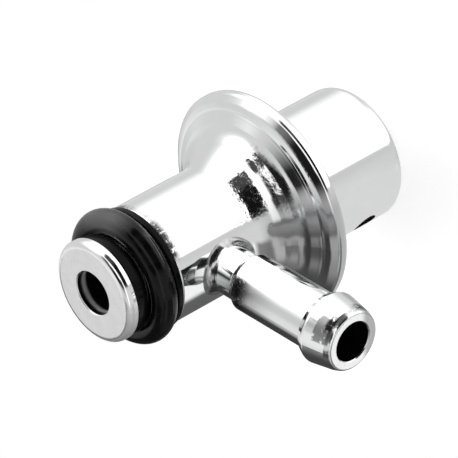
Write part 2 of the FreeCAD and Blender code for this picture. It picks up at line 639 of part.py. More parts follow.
def strainer_mesh():
    """Fine mesh sleeve round the basket, with a plain border at each end."""
    bottom = BLOCK_TOP + STRAINER_FLOOR_GAP
    top = SPIGOT_BOTTOM - STRAINER_COLLAR_HEIGHT
    sleeve = ring(STRAINER_OUTER_RADIUS, STRAINER_OUTER_RADIUS + MESH_THICKNESS, bottom, top)
    pitch = (top - bottom - 2 * MESH_BORDER) / MESH_WINDOW_ROWS
    length = 4 * STRAINER_OUTER_RADIUS
    cutters = []
    for row in range(MESH_WINDOW_ROWS):
        height = bottom + MESH_BORDER + pitch * (row + 0.5) - MESH_WINDOW_HEIGHT / 2
        for column in range(MESH_WINDOW_COLUMNS // 2):
            corner = FreeCAD.Vector(-length / 2, -MESH_WINDOW_WIDTH / 2, height)
            cutter = Part.makeBox(length, MESH_WINDOW_WIDTH, MESH_WINDOW_HEIGHT, corner)
            cutter.rotate(MAIN_ORIGIN, AXIS_UP, 360 * column / MESH_WINDOW_COLUMNS)
            cutters.append(cutter)
    return sleeve.cut(cutters)


NODES = {
    "inlet_housing": inlet_housing,
    "spring_cover": spring_cover,
    "outlet_pipe": outlet_pipe,
    "braze_fillet": braze_fillet,
    "inlet_cap": inlet_cap,
    "guide_ring": guide_ring,
    "inlet_oring": inlet_oring,
    "backup_ring": backup_ring,
    "strainer_frame": strainer_frame,
    "strainer_mesh": strainer_mesh,
    "seat_block": seat_block,
    "valve_seat": valve_seat,
    "valve_ball": valve_ball,
    "ball_spring": ball_spring,
    "ball_retainer": ball_retainer,
    "valve_holder": valve_holder,
    "diaphragm_washer": diaphragm_washer,
    "diaphragm": diaphragm,
    "spring_seat": spring_seat,
    "main_spring": main_spring,
    "end_seat": end_seat,
}


def main():
    """Write one STEP file for each piece."""
    os.makedirs("parts", exist_ok=True)
    for name, make in NODES.items():
        make().exportStep(os.path.join("parts", name + ".step"))


main()
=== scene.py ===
"""Fuel pressure regulator: the looks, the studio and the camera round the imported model.

The part stands on the flat end of its spring cover with the O-ring nose up.
Every length is in metres and every angle in degrees, unless a docstring says otherwise.
"""

import json
import logging
import math
from abc import ABC, abstractmethod
from dataclasses import dataclass, field
from enum import Enum
from typing import Any

import bpy
from mathutils import Matrix, Vector

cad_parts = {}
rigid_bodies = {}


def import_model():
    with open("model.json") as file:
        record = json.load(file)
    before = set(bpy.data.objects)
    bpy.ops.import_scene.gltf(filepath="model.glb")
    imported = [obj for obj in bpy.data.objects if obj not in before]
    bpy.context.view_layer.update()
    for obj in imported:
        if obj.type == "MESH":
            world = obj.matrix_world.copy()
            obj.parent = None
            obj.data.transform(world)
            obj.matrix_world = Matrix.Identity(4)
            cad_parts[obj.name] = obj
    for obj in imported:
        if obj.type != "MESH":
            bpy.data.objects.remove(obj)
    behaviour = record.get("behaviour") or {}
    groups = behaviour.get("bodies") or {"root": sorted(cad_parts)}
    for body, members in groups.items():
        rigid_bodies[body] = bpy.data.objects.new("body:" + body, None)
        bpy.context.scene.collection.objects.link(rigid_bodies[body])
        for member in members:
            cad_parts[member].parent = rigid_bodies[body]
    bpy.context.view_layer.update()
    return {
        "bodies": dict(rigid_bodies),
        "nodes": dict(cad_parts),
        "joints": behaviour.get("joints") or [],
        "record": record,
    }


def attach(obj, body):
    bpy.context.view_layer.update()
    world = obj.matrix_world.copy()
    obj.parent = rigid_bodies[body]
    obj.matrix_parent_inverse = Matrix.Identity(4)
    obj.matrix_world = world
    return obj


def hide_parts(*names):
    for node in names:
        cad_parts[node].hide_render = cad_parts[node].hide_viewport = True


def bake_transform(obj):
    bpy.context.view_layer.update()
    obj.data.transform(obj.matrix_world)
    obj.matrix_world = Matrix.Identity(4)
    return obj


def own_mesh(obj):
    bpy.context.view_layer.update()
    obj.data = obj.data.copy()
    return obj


LOG = logging.getLogger("regulator")
MM = 0.001
OUTLET_HEIGHT = 30.67 * MM
WELD_DISTANCE = 0.0005 * MM
SMOOTHING_ANGLE = 35.0

# Noise patterns: the finer layers of each kind, how its edges fade, and where its values lie.
RELIEF_DETAIL = 2.0
MARK_DETAIL = 3.0
MARK_FADE = 0.06
MOTTLE_DETAIL = 4.0
MOTTLE_ROUGHNESS = 0.6
MOTTLE_SPAN = (0.35, 0.65)
NOISE_MIDDLE = 0.5
NOISE_SPREAD = 0.4

Colour = tuple[float, float, float]
Opaque = tuple[float, float, float, float]
Point = tuple[float, float]
Frame = dict[str, Any]
Socket = bpy.types.NodeSocket
Level = Socket | float


class Grain(Enum):
    """Directions that tool marks, drawing lines and cloth run in.

    Each value is how fast a pattern changes in x, y and z.
    """

    EVEN = (1.0, 1.0, 1.0)
    ALONG_AXIS = (1.0, 1.0, 0.07)
    ROUND_AXIS = (0.05, 0.05, 1.0)
    ALONG_OUTLET = (0.07, 1.0, 1.0)


class NodeSheet:
    """Adds nodes to one node tree and joins them."""

    def __init__(self, tree: bpy.types.NodeTree) -> None:
        """Empties the tree.

        Args:
            tree: The node tree of a material or of the world.
        """
        self.tree = tree
        self.tree.nodes.clear()

    def add(self, kind: str, inputs: dict | None = None, **settings: object) -> bpy.types.Node:
        """Adds a node.

        Args:
            kind: The node's type name.
            inputs: Values or sockets for its inputs, by name or number.
            **settings: The node's own settings.

        Returns:
            The node.
        """
        node = self.tree.nodes.new(kind)
        for name, value in settings.items():
            setattr(node, name, value)
        for name, value in (inputs or {}).items():
            if isinstance(value, Socket):
                self.tree.links.new(value, node.inputs[name])
            else:
                node.inputs[name].default_value = value
        return node

    def math(self, operation: str, *values: Level) -> Socket:
        """Adds a Math node and returns its result."""
        return self.add("ShaderNodeMath", dict(enumerate(values)), operation=operation).outputs[0]

    def mix(self, share: Level, first: Level, second: Level) -> Socket:
        """Mixes two numbers and returns the result."""
        inputs = {0: share, 2: first, 3: second}
        return self.add("ShaderNodeMix", inputs, data_type="FLOAT").outputs[0]

    def mix_colour(self, share: Level, first: Socket | Opaque, second: Socket | Opaque) -> Socket:
        """Mixes two colours and returns the result."""
        inputs = {0: share, 6: first, 7: second}
        return self.add("ShaderNodeMix", inputs, data_type="RGBA").outputs[2]

    def ramp(self, value: Socket, start: float, end: float) -> Socket:
        """Makes a value rise smoothly from 0 to 1.

        Args:
            value: The socket to map.
            start: The value at and before which the result is 0.
            end: The value at and after which it is 1; it may be the smaller of the two.

        Returns:
            The mapped socket.
        """
        inputs = {"Value": value, "From Min": start, "From Max": end}
        return self.add("ShaderNodeMapRange", inputs, interpolation_type="SMOOTHSTEP").outputs[0]

    def noise(self, place: Socket, size: float, detail: float, grain: Grain = Grain.EVEN,
              roughness: float = 0.5) -> Socket:
        """Adds an uneven pattern.

        Args:
            place: The socket that gives the place.
            size: The size of the pattern's features.
            detail: How many finer layers it has.
            grain: The direction that it runs in.
            roughness: How strong its finer layers are.

        Returns:
            The pattern, from 0 to 1.
        """
        mapped = self.add("ShaderNodeMapping", {"Vector": place, "Scale": grain.value}).outputs[0]
        inputs = {"Vector": mapped, "Scale": 1 / size, "Detail": detail, "Roughness": roughness}
        return self.add("ShaderNodeTexNoise", inputs).outputs[0]

    def raised(self, height: Socket, depth: float, share: Level, below: Socket | None) -> Socket:
        """Adds relief to a surface.

        Args:
            height: The relief's height, from 0 to 1.
            depth: What a height of 1 measures.
            share: How much of the relief shows, from 0 to 1.
            below: The normals so far, if any.

        Returns:
            The new normals.
        """
        inputs = {"Height": height, "Distance": depth, "Strength": share}
        if below is not None:
            inputs["Normal"] = below
        return self.add("ShaderNodeBump", inputs).outputs[0]

    def azimuth(self, parts: bpy.types.Node) -> Socket:
        """The azimuth of a place or direction that a node has parted in x, y and z."""
        return self.math("DEGREES", self.math("ARCTAN2", parts.outputs[1], parts.outputs[0]))

    def mirrored(self, path: bpy.types.Node) -> Socket:
        """1 for what a surface mirrors or lets through, by the Light Path node, and 0 otherwise."""
        return self.math(
            "MAXIMUM", path.outputs["Is Glossy Ray"], path.outputs["Is Transmission Ray"])


def grey(level: float) -> Colour:
    """A grey of the given level."""
    return (level, level, level)


def opaque(colour: Colour) -> Opaque:
    """A colour with full opacity."""
    return (*colour, 1.0)


@dataclass(frozen=True)
class StudioPanel:
    """A light or dark area of the studio's surroundings, seen from the part.

    Attributes:
        azimuth: The middle, counted from the outlet pipe's direction.
        elevation: The middle above the horizon.
        half_width: Half its width in azimuth.
        half_height: Half its height in elevation.
        side_softness: How far its upright edges fade.
        top_softness: How far its level edges fade.
        brightness: Its brightness, where 1 is white.
    """

    azimuth: float
    elevation: float
    half_width: float
    half_height: float
    side_softness: float
    top_softness: float
    brightness: float

    def over(self, sheet: NodeSheet, azimuth: Socket, elevation: Socket, below: Level) -> Socket:
        """Lays the panel over what is already there.

        Args:
            sheet: The world's node sheet.
            azimuth: The azimuth that is looked at.
            elevation: The elevation that is looked at.
            below: The brightness so far.

        Returns:
            The new brightness.
        """
        turned = sheet.math("WRAP", sheet.math("SUBTRACT", azimuth, self.azimuth), 180.0, -180.0)
        sideways = sheet.math("ABSOLUTE", turned)
        upwards = sheet.math("ABSOLUTE", sheet.math("SUBTRACT", elevation, self.elevation))
        across = sheet.ramp(sideways, self.half_width + self.side_softness,
                            self.half_width - self.side_softness)
        along = sheet.ramp(upwards, self.half_height + self.top_softness,
                           self.half_height - self.top_softness)
        return sheet.mix(sheet.math("MULTIPLY", across, along), below, self.brightness)


@dataclass(frozen=True)
class Studio:
    """White table, light tent with a dark front opening, and the white that the camera sees behind.

    Attributes:
        surround: The brightness where there is no panel.
        plain_light: How much stronger the panels light rough surfaces than mirrors show them.
        wander_scale: How finely the panels' upright edges wander.
        wander_detail: How many finer layers that wandering has.
        edge_wander: How far they wander.
        floor_radius: The radius of the table top.
        floor_sides: The number of its edges.
        floor_gap: How far it lies below the part's end, so that the two never share a plane.
        floor_tone: The tone of its paint.
        floor_glow: What the camera sees it give off, which makes its white plain.
        sheet_glow: The brightness of the pale sheet on its right, as the part mirrors it.
        sheet_edge: The azimuths at which that sheet has ended, and at which it is whole.
        panels: The panels by name, each laid over the ones before it.
    """

    surround: float = 0.62
    plain_light: float = 1.6
    wander_scale: float = 5.0
    wander_detail: float = 3.0
    edge_wander: float = 3.0
    floor_radius: float = 45 * MM
    floor_sides: int = 96
    floor_gap: float = 0.02 * MM
    floor_tone: float = 0.80
    floor_glow: float = 0.50
    sheet_glow: float = 0.72
    sheet_edge: tuple[float, float] = (20.0, 0.0)
    panels: dict[str, StudioPanel] = field(default_factory=lambda: {
        "table": StudioPanel(0, -64, 180, 32, 1, 4, 0.62),
        "table on the left": StudioPanel(150, -64, 50, 34, 14, 4, 0.85),
        "table by the front": StudioPanel(76, -60, 53, 39, 1.5, 1.5, 1.30),
        "table on the right": StudioPanel(265, -33, 45, 9, 24, 4, 0.12),
        "table by the outlet": StudioPanel(318, -40, 22, 14, 8, 3, 0.95),
        "back wall": StudioPanel(206, 45, 40, 42, 6, 12, 0.84),
        "left wall": StudioPanel(150, 0, 48, 62, 16, 12, 0.66),
        "left softbox": StudioPanel(118, 2, 38, 50, 14, 8, 1.10),
        "left softbox lamp": StudioPanel(124, 8, 22, 34, 12, 8, 2.2),
        "right wall": StudioPanel(300, 1, 44, 28, 10, 6, 0.22),
        "right dark corner": StudioPanel(258, 28, 22, 28, 5, 6, 0.09),
        "low right sheet": StudioPanel(320, 18, 22, 9, 8, 1.5, 0.66),
        "right bar": StudioPanel(312, 32, 30, 5, 10, 2, 0.13),
        "upper right sheet": StudioPanel(314, 44, 16, 8, 4, 2, 0.52),
        "edge of the right sheet": StudioPanel(290, 36, 8, 6, 3, 2, 0.40),
        "upper right wall": StudioPanel(274, 54, 24, 11, 4, 3, 0.04),
        "dark corner by the table": StudioPanel(248, 0, 32, 26, 3, 10, 0.05),
        "right strip": StudioPanel(356, 0, 16, 56, 6, 8, 0.66),
        "overhead strip": StudioPanel(45, 36, 72, 8, 14, 2, 1.15),
        "overhead frame": StudioPanel(66, 49, 50, 8, 4, 2, 0.06),
        "overhead window": StudioPanel(63, 43, 25, 8, 4, 2, 1.10),
        "overhead shade": StudioPanel(60, 70, 64, 18, 20, 6, 0.16),
        "overhead bar": StudioPanel(56, 68, 42, 17, 12, 4, 0.010),
        "front opening shade": StudioPanel(60, 4, 39, 25, 4, 1.5, 0.06),
        "front opening": StudioPanel(50, 3, 24, 23, 6, 2, 0.006),
    })

    def build(self) -> None:
        """Makes the world and the floor."""
        self._make_world()
        self._make_floor()

    def _make_world(self) -> None:
        """Makes the surroundings from the panels; the camera sees plain white."""
        world = bpy.data.worlds.new("light_tent")
        world.use_nodes = True
        bpy.context.scene.world = world
        sheet = NodeSheet(world.node_tree)
        direction = sheet.add("ShaderNodeTexCoord").outputs["Generated"]
        parts = sheet.add("ShaderNodeSeparateXYZ", {0: direction})
        elevation = sheet.math("DEGREES", sheet.math("ARCSINE", parts.outputs[2]))
        wander = sheet.add("ShaderNodeTexNoise", {
            "Vector": direction, "Scale": self.wander_scale, "Detail": self.wander_detail})
        offsets = sheet.add("ShaderNodeSeparateXYZ", {0: wander.outputs["Color"]})
        azimuth = sheet.math("SUBTRACT", sheet.azimuth(parts), self.edge_wander)
        azimuth = sheet.math("MULTIPLY_ADD", offsets.outputs[0], 2 * self.edge_wander, azimuth)
        glow: Level = self.surround
        for panel in self.panels.values():
            glow = panel.over(sheet, azimuth, elevation, glow)
        path = sheet.add("ShaderNodeLightPath")
        plain = sheet.math("MULTIPLY", sheet.math("MINIMUM", glow, 1.0), self.plain_light)
        level = sheet.mix(sheet.mirrored(path), plain, glow)
        seen = sheet.mix(path.outputs["Is Camera Ray"], level, 1.0)
        background = sheet.add("ShaderNodeBackground", {"Color": opaque(grey(1)), "Strength": seen})
        sheet.add("ShaderNodeOutputWorld", {"Surface": background.outputs[0]})
        LOG.info("studio: %d panels", len(self.panels))

    def _make_floor(self) -> None:
        """Makes the round white table top that keeps the part's shadow."""
        bpy.ops.mesh.primitive_circle_add(
            vertices=self.floor_sides, radius=self.floor_radius, fill_type="NGON")
        floor = bpy.context.object
        floor.name = "floor"
        floor.data.transform(Matrix.Translation((0, 0, -self.floor_gap)))
        material = bpy.data.materials.new("table_white")
        material.use_nodes = True
        sheet = NodeSheet(material.node_tree)
        path = sheet.add("ShaderNodeLightPath")
        paint = sheet.add("ShaderNodeBsdfDiffuse", {"Color": opaque(grey(self.floor_tone))})
        glow = sheet.math("MULTIPLY", path.outputs["Is Camera Ray"], self.floor_glow)
        seen = sheet.add("ShaderNodeEmission", {"Strength": glow})
        both = sheet.add("ShaderNodeAddShader", {0: paint.outputs[0], 1: seen.outputs[0]})
        place = sheet.add("ShaderNodeTexCoord").outputs["Object"]
        azimuth = sheet.azimuth(sheet.add("ShaderNodeSeparateXYZ", {0: place}))
        right = sheet.ramp(azimuth, *self.sheet_edge)
        clear = sheet.add("ShaderNodeBsdfTransparent")
        pale = sheet.add("ShaderNodeEmission", {"Strength": self.sheet_glow})
        reflected = sheet.add("ShaderNodeMixShader", {
            0: right, 1: clear.outputs[0], 2: pale.outputs[0]})
        whole = sheet.add("ShaderNodeMixShader", {
            0: sheet.mirrored(path), 1: both.outputs[0], 2: reflected.outputs[0]})
        sheet.add("ShaderNodeOutputMaterial", {"Surface": whole.outputs[0]})
        floor.data.materials.append(material)


@dataclass(frozen=True)
class PhotoCamera:
    """Long lens from in front of the nose and the outlet, turned so that the nose points down left.

    Attributes:
        azimuth: The side that it looks from, counted from the outlet pipe's direction.
        elevation: How high it looks from.
        roll: How far it is turned about its own axis.
        distance: How far it is from the target.
        lens: The focal length, in millimetres.
        sensor_width: The width of the picture at that focal length, in millimetres.
        clip: The nearest and the farthest distance that it sees.
        target: The point that it looks at.
    """

    azimuth: float = 42.4080
    elevation: float = 32.8301
    roll: float = -118.8358
    distance: float = 0.67124
    lens: float = 406.336
    sensor_width: float = 36.0
    clip: tuple[float, float] = (0.01, 10.0)
    target: Vector = field(default_factory=lambda: Vector((0.500, -1.128, 23.607)) * MM)

    def build(self) -> None:
        """Makes the camera and sets it as the scene's."""
        azimuth, elevation = math.radians(self.azimuth), math.radians(self.elevation)
        level = math.cos(elevation)
        back = Vector((
            level * math.cos(azimuth), level * math.sin(azimuth), math.sin(elevation)))
        upright = back.to_track_quat("Z", "Y").to_matrix()
        rolled = upright @ Matrix.Rotation(math.radians(self.roll), 3, "Z")
        place = Matrix.Translation(self.target + back * self.distance)
        data = bpy.data.cameras.new("photo_camera")
        data.lens = self.lens
        data.sensor_width = self.sensor_width
        data.clip_start, data.clip_end = self.clip
        camera = bpy.data.objects.new("photo_camera", data)
        camera.matrix_world = place @ rolled.to_4x4()
        bpy.context.scene.collection.objects.link(camera)
        bpy.context.scene.camera = camera


class Axis(Enum):
    """What a place is measured by: the part's three axes, and the distances from two of them.

    The first three values are the outputs of a Separate XYZ node.
    """

    OUTLET = 0
    ACROSS = 1
    MAIN = 2
    OUTWARD = 3
    FROM_OUTLET = 4


# What is kept of a place's x, y and z, and what is added, before its length is taken.
DISTANCES = {
    Axis.OUTWARD: ((1, 1, 0), (0, 0, 0)),
    Axis.FROM_OUTLET: ((0, 1, 1), (0, 0, -OUTLET_HEIGHT)),
}


@dataclass(frozen=True)
class Zone:
    """A stretch of the part that a layer is kept to.

    Attributes:
        axis: What it is measured by.
        start: Where it starts.
        end: Where it ends.
        softness: How far its ends fade.
    """

    axis: Axis
    start: float
    end: float
    softness: float = 0.3 * MM

    def measure(self, sheet: NodeSheet, place: Socket) -> Socket:
        """Measures a place the way that the zone is measured.

        Args:
            sheet: The material's node sheet.
            place: The socket that gives the place.

        Returns:
            The place along the axis, or its distance from it.
        """
        if self.axis not in DISTANCES:
            return sheet.add("ShaderNodeSeparateXYZ", {0: place}).outputs[self.axis.value]
        kept, added = DISTANCES[self.axis]
        inputs = {0: place, 1: kept, 2: added}
        flat = sheet.add("ShaderNodeVectorMath", inputs, operation="MULTIPLY_ADD").outputs[0]
        length = sheet.add("ShaderNodeVectorMath", {0: flat}, operation="LENGTH")
        return length.outputs["Value"]

    def share(self, sheet: NodeSheet, place: Socket) -> Socket:
        """Finds how much of the layer shows at a place.

        Args:
            sheet: The material's node sheet.
            place: The socket that gives the place.

        Returns:
            The share, from 0 to 1.
        """
        along = self.measure(sheet, place)
        rising = sheet.ramp(along, self.start - self.softness, self.start + self.softness)
        falling = sheet.ramp(along, self.end + self.softness, self.end - self.softness)
        return sheet.math("MULTIPLY", rising, falling)


def zones_share(sheet: NodeSheet, place: Socket, zones: tuple[Zone, ...]) -> Level:
    """Finds how much of a layer shows at a place, if it is kept to where all its zones meet.

    Args:
        sheet: The material's node sheet.
        place: The socket that gives the place.
        zones: The layer's zones.

    Returns:
        The share, from 0 to 1, or 1 everywhere if there are no zones.
    """
    share: Level = 1.0
    for zone in zones:
        share = sheet.math("MULTIPLY", share, zone.share(sheet, place))
    return share


@dataclass(frozen=True)
class Relief:
    """One layer of fine relief.

    Attributes:
        size: The size of its features.
        depth: Its height.
        grain: The direction that it runs in.
        zones: The stretches that it is kept to, if any.
    """

    size: float
    depth: float
    grain: Grain = Grain.EVEN
    zones: tuple[Zone, ...] = ()

    def over(self, sheet: NodeSheet, place: Socket, below: Socket | None) -> Socket:
        """Adds the layer to a surface.

        Args:
            sheet: The material's node sheet.
            place: The socket that gives the place.
            below: The normals so far, if any.

        Returns:
            The new normals.
        """
        height = sheet.noise(place, self.size, RELIEF_DETAIL, self.grain)
        return sheet.raised(height, self.depth, zones_share(sheet, place, self.zones), below)


@dataclass(frozen=True)
class DrawnRing:
    """A low ring that the drawing die leaves round the bell.

    Attributes:
        radius: How far out it lies.
        width: How wide it is.
        depth: What its height measures in the bump; a groove's is negative.
    """

    radius: float
    width: float
    depth: float

    def over(self, sheet: NodeSheet, place: Socket, below: Socket | None) -> Socket:
        """Adds the ring to a surface.

        Args:
            sheet: The material's node sheet.
            place: The socket that gives the place.
            below: The normals so far, if any.

        Returns:
            The new normals.
        """
        ring = Zone(Axis.OUTWARD, self.radius, self.radius, self.width / 2)
        return sheet.raised(ring.share(sheet, place), self.depth, 1.0, below)


@dataclass(frozen=True)
class Marking:
    """A stretch, or scattered marks, where the surface is duller or darker.

    Attributes:
        rough: The roughness there.
        cover: The share of the surface that the marks take, or 1 for all of it.
        size: The size of the marks.
        grain: The direction that they run in.
        zones: The stretches that they are kept to, if any.
        tone: Their tone as a share of the finish's second tone, which may be above 1, or
            None where they leave the tone as it is.
    """

    rough: float
    cover: float = 1.0
    size: float = 1 * MM
    grain: Grain = Grain.EVEN
    zones: tuple[Zone, ...] = ()
    tone: float | None = None

    def share(self, sheet: NodeSheet, place: Socket) -> Level:
        """Finds how much of the marks shows at a place.

        Args:
            sheet: The material's node sheet.
            place: The socket that gives the place.

        Returns:
            The share, from 0 to 1.
        """
        share = zones_share(sheet, place, self.zones)
        if self.cover < 1:
            noise = sheet.noise(place, self.size, MARK_DETAIL, self.grain)
            edge = NOISE_MIDDLE + NOISE_SPREAD * (NOISE_MIDDLE - self.cover)
            share = sheet.math("MULTIPLY", share, sheet.ramp(noise, edge, edge + MARK_FADE))
        return share


@dataclass(frozen=True)
class Finish(ABC):
    """A finish of one material slot.

    Attributes:
        name: The slot's name.
        tone: The colour of its glossier patches.
        second_tone: The colour of its duller patches.
        mottle_size: The size of the patches.
        gloss_rough: The roughness of the glossier patches.
        dull_rough: The roughness of the duller patches.
        reliefs: Its layers of relief.
        markings: Its marks, each laid over the ones before it.
    """

    name: str
    tone: Colour
    second_tone: Colour
    mottle_size: float
    gloss_rough: float
    dull_rough: float
    reliefs: tuple[Relief | DrawnRing, ...] = ()
    markings: tuple[Marking, ...] = ()

    def build(self) -> bpy.types.Material:
        """Makes the material.

        Returns:
            The material.
        """
        material = bpy.data.materials.new(self.name)
        material.use_nodes = True
        sheet = NodeSheet(material.node_tree)
        place = sheet.add("ShaderNodeTexCoord").outputs["Object"]
        mottle = sheet.noise(
            place, self.mottle_size, MOTTLE_DETAIL, roughness=MOTTLE_ROUGHNESS)
        share = sheet.ramp(mottle, *MOTTLE_SPAN)
        rough = sheet.mix(share, self.gloss_rough, self.dull_rough)
        colour = sheet.mix_colour(share, opaque(self.tone), opaque(self.second_tone))
        for marking in self.markings:
            marked = marking.share(sheet, place)
            rough = sheet.mix(marked, rough, marking.rough)
            if marking.tone is not None:
                tone = tuple(channel * marking.tone for channel in self.second_tone)
                colour = sheet.mix_colour(marked, colour, opaque(tone))
        shader = sheet.add("ShaderNodeBsdfPrincipled", {"Base Color": colour, "Roughness": rough})
        normal: Socket | None = None
        for relief in self.reliefs:
            normal = relief.over(sheet, place, normal)
        if normal is not None:
            sheet.tree.links.new(normal, shader.inputs["Normal"])
        self.shade(shader)
        sheet.add("ShaderNodeOutputMaterial", {"Surface": shader.outputs[0]})
        LOG.info("finish %s", self.name)
        return material

    @abstractmethod
    def shade(self, shader: bpy.types.Node) -> None:
        """Sets what is the same all over the surface."""


@dataclass(frozen=True)
class MetalFinish(Finish):
    """Bare or plated metal."""

    def shade(self, shader: bpy.types.Node) -> None:
        """Makes the surface metallic."""
        shader.inputs["Metallic"].default_value = 1.0


@dataclass(frozen=True)
class DarkFinish(Finish):
    """Rubber or plastic.

    Attributes:
        reflection: The strength of its reflection.
    """

    reflection: float = 0.5

    def shade(self, shader: bpy.types.Node) -> None:
        """Sets the strength of the reflection."""
        shader.inputs["Specular IOR Level"].default_value = self.reflection


def new_piece(name: str, mesh: bpy.types.Mesh) -> bpy.types.Object:
    """Puts a mesh in the scene as the only selected object.

    Args:
        name: The piece's name.
        mesh: Its mesh, in the part's own frame.

    Returns:
        The piece.
    """
    piece = bpy.data.objects.new(name, mesh)
    bpy.context.scene.collection.objects.link(piece)
    for other in bpy.context.selected_objects:
        other.select_set(False)
    piece.select_set(True)
    bpy.context.view_layer.objects.active = piece
    return piece


def finish_mesh() -> None:
    """Joins the points of the mesh in edit mode, turns its faces outwards and smooths it."""
    bpy.ops.mesh.select_all(action="SELECT")
    bpy.ops.mesh.remove_doubles(threshold=WELD_DISTANCE)
    bpy.ops.mesh.normals_make_consistent(inside=False)
    bpy.ops.object.mode_set(mode="OBJECT")
    bpy.ops.object.shade_smooth_by_angle(angle=math.radians(SMOOTHING_ANGLE))


@dataclass(frozen=True)
class SubAssembly(ABC):
    """Pieces of the part that belong together, with the finishes that they bring."""

    @abstractmethod
    def finishes(self) -> tuple[Finish, ...]:
        """The finishes of its pieces."""

    def model(self, frame: Frame) -> dict[str, list[bpy.types.Object]]:
        """Makes its own new pieces, by the name of the node that they stand for."""
        return {}

    def build(self, frame: Frame) -> None:
        """Makes the new pieces and gives every piece of the sub-assembly its finish.

        Args:
            frame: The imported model's bodies, nodes, joints and record.
        """
        made = {finish.name: finish.build() for finish in self.finishes()}
        modelled = self.model(frame)
        for part in frame["record"]["subparts"]:
            name, slot_name = part["node"], part["material_slot"]
            if slot_name not in made:
                continue
            for piece in modelled.get(name, []):
                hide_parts(name)
            for piece in modelled.get(name, [frame["nodes"][name]]):
                if not piece.material_slots:
                    piece.data.materials.append(made[slot_name])
                for slot in piece.material_slots:
                    slot.material = made[slot_name]
                LOG.info("%s: %s", piece.name, slot_name)


@dataclass(frozen=True)
class Housing(SubAssembly):
    """Deep-drawn and bright-plated body: nose, neck, bell and crimped rim.

    Attributes:
        foot: The height at which the neck widens into the bell.
        knee: The bell's knee, where it turns outwards.
        lower_bell: The height of the bell below its foot.
        bell: The height of the whole bell.
        front: The side across from the outlet that faces the camera.
        outlet_side: The side that the outlet is on.
        by_pipe: The part of that side that lies under the pipe's length.
        behind_pipe: The far side across from the outlet, up to the pipe and a little past it.
        beside_ring: The height just below the O-ring.
        ring_shade_side: The side on which painted shade darkens the neck there, in streaks.
    """

    foot: Zone = Zone(Axis.MAIN, 23.0 * MM, 28.6 * MM, 0.8 * MM)
    knee: Zone = Zone(Axis.OUTWARD, 9.95 * MM, 11.7 * MM)
    lower_bell: Zone = Zone(Axis.MAIN, 19.0 * MM, 24.0 * MM)
    bell: Zone = Zone(Axis.MAIN, 16.5 * MM, 24.5 * MM, 0.8 * MM)
    front: Zone = Zone(Axis.ACROSS, 4.5 * MM, 20.0 * MM, 1.0 * MM)
    outlet_side: Zone = Zone(Axis.OUTLET, 1.4 * MM, 20.0 * MM, 0.8 * MM)
    by_pipe: Zone = Zone(Axis.OUTLET, 8.0 * MM, 20.0 * MM, 1.5 * MM)
    behind_pipe: Zone = Zone(Axis.ACROSS, -20.0 * MM, 7.0 * MM, 1.5 * MM)
    beside_ring: Zone = Zone(Axis.MAIN, 37.8 * MM, 38.6 * MM, 0.5 * MM)
    ring_shade_side: Zone = Zone(Axis.ACROSS, 4.6 * MM, 8.0 * MM, 0.5 * MM)

    def finishes(self) -> tuple[Finish, ...]:
        """Lists the plating, rippled where the bell is drawn, with painted shade under the pipe and
        beside the O-ring.

        Returns:
            The finish.
        """
        on_foot = (self.foot, self.front, self.outlet_side)
        on_knee = (self.knee, self.lower_bell, self.front, self.outlet_side)
        ring_shade = (self.beside_ring, self.ring_shade_side)
        return (MetalFinish(
            "plated_steel",
            tone=(0.95, 0.955, 0.96),
            second_tone=(0.93, 0.935, 0.94),
            mottle_size=4 * MM,
            gloss_rough=0.055,
            dull_rough=0.09,
            reliefs=(
                Relief(6 * MM, 0.004 * MM),
                Relief(0.8 * MM, 0.075 * MM, zones=on_foot),
                Relief(0.35 * MM, 0.010 * MM, zones=on_foot),
                Relief(0.8 * MM, 0.030 * MM, zones=on_knee),
                DrawnRing(9.85 * MM, 0.95 * MM, -0.060 * MM),
                DrawnRing(13.4 * MM, 0.50 * MM, 0.016 * MM),
            ),
            markings=(
                Marking(0.20, cover=0.40, size=0.55 * MM, zones=on_foot),
                Marking(0.12, cover=0.30, size=0.5 * MM, zones=on_knee, tone=0.75),
                # Painted shade: the bell under the pipe, and on the side behind it, is made darker
                # and duller.
                Marking(0.19, zones=(self.by_pipe, self.behind_pipe, self.bell), tone=0.68),
                # Painted shade on the neck just below the O-ring, broken into streaks along the
                # axis.
                Marking(0.25, 0.72, 0.85 * MM, Grain.ALONG_AXIS, ring_shade, tone=0.04),
                Marking(0.25, cover=0.55, size=0.30 * MM, zones=ring_shade, tone=0.04),
            ),
        ),)


@dataclass(frozen=True)
class SpringCover(SubAssembly):
    """Drawn and plated cup over the main spring.

    Attributes:
        end: The height of its rounded end.
    """

    end: Zone = Zone(Axis.MAIN, -1 * MM, 2.0 * MM, 0.8 * MM)

    def finishes(self) -> tuple[Finish, ...]:
        """Lists the plating, with faint drawing lines and duller on the end that it stands on.

        Returns:
            The finish.
        """
        return (MetalFinish(
            "cover_steel",
            tone=(0.93, 0.935, 0.94),
            second_tone=(0.91, 0.915, 0.92),
            mottle_size=5 * MM,
            gloss_rough=0.07,
            dull_rough=0.12,
            reliefs=(
                Relief(6 * MM, 0.006 * MM),
                Relief(0.5 * MM, 0.0004 * MM, Grain.ALONG_AXIS),
            ),
            markings=(Marking(0.20, cover=0.30, size=1.5 * MM, zones=(self.end,)),),
        ),)


